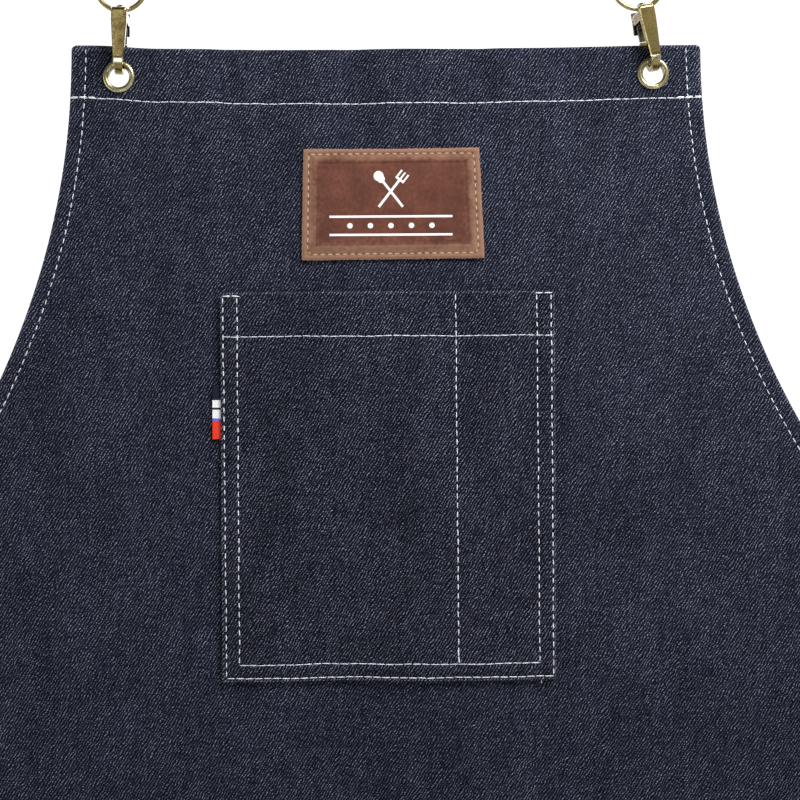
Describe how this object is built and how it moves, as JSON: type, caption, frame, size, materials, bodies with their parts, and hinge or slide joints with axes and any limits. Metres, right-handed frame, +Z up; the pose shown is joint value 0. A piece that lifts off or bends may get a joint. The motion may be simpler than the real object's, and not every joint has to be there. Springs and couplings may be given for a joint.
{
  "type": "work apron",
  "caption": "Denim bib apron hung by a leather neck strap, with sprung snap hooks through brass eyelets, a chest pocket with pen slot and a leather patch.",
  "frame": {"origin": "underside of the neck strap at the top of its loop, where it bears on the peg", "axes": "+X to the right as the front is seen, +Z up, the front faces -Y"},
  "size_m": [0.68, 0.0194, 1.1462],
  "materials": {
    "denim": "indigo twill",
    "thread": "cotton topstitch",
    "tan_thread": "waxed thread",
    "patch_leather": "pull-up leather",
    "patch_print": "white print",
    "ribbon": "striped woven ribbon",
    "antique_brass": "antique",
    "spring_steel": "plain",
    "strap_leather": "vegetable-tanned"
  },
  "bodies": {
    "neck_strap": {"neck_strap": "strap_leather", "strap_rivets": "antique_brass"},
    "swivel_ring_left": {"swivel_ring_left": "antique_brass"},
    "snap_hook_left": {"snap_hook_left": "antique_brass", "gate_pin_left": "antique_brass", "gate_spring_left": "spring_steel", "swivel_rivet_left": "antique_brass"},
    "gate_left": {"gate_left": "antique_brass"},
    "swivel_ring_right": {"swivel_ring_right": "antique_brass"},
    "snap_hook_right": {"snap_hook_right": "antique_brass", "gate_pin_right": "antique_brass", "gate_spring_right": "spring_steel", "swivel_rivet_right": "antique_brass"},
    "gate_right": {"gate_right": "antique_brass"},
    "apron": {"apron_panel": "denim", "armhole_hem_left": "denim", "armhole_hem_right": "denim", "armhole_thread_left": "thread", "armhole_thread_right": "thread", "bottom_hem": "denim", "eyelet_left": "antique_brass", "eyelet_right": "antique_brass", "leather_patch": "patch_leather", "patch_mark": "patch_print", "patch_thread": "tan_thread", "pocket": "denim", "pocket_mouth_hem": "denim", "pocket_thread": "thread", "side_tab": "ribbon", "skirt_hem_left": "denim", "skirt_hem_right": "denim", "skirt_thread": "thread", "top_hem": "denim", "top_hem_thread": "thread", "waist_eyelet_left": "antique_brass", "waist_eyelet_right": "antique_brass", "waist_washer_left": "antique_brass", "waist_washer_right": "antique_brass", "washer_left": "antique_brass", "washer_right": "antique_brass"}
  },
  "joints": [
    {"name": "ring_left_swing", "type": "hinge", "parent": "neck_strap", "child": "swivel_ring_left", "pos_m": [-0.11488, 0.0005, -0.25544], "axis": [1, 0, 0], "range_deg": [-20, 20]},
    {"name": "ring_right_swing", "type": "hinge", "parent": "neck_strap", "child": "swivel_ring_right", "pos_m": [0.10938, 0.0005, -0.25544], "axis": [1, 0, 0], "range_deg": [-20, 20]},
    {"name": "apron_swing", "type": "hinge", "parent": "swivel_ring_left", "child": "apron", "pos_m": [0, 0.0005, -0.3025], "axis": [1, 0, 0], "range_deg": [-7, 7]},
    {"name": "hook_left_swivel", "type": "hinge", "parent": "swivel_ring_left", "child": "snap_hook_left", "pos_m": [-0.11677, 0.0005, -0.27931], "axis": [0.0262, 0, 0.9997], "range_deg": [-3, 3]},
    {"name": "hook_right_swivel", "type": "hinge", "parent": "swivel_ring_right", "child": "snap_hook_right", "pos_m": [0.1134, 0.0005, -0.27973], "axis": [-0.1874, 0, 0.9823], "range_deg": [-3, 3]},
    {"name": "gate_left_open", "type": "hinge", "parent": "snap_hook_left", "child": "gate_left", "pos_m": [-0.11716, 0.00609, -0.2811], "axis": [-0.9978, -0.061, 0.0261], "range_deg": [0, 25], "stiffness_Nm_per_rad": 0.02, "springref_deg": -20.05},
    {"name": "gate_right_open", "type": "hinge", "parent": "snap_hook_right", "child": "gate_right", "pos_m": [0.11326, 0.00608, -0.28158], "axis": [-0.9785, -0.0872, -0.1867], "range_deg": [0, 25], "stiffness_Nm_per_rad": 0.02, "springref_deg": -20.05}
  ],
  "couplings": [
    {"joint": "ring_right_swing", "follows": "ring_left_swing", "ratio": 1}
  ]
}
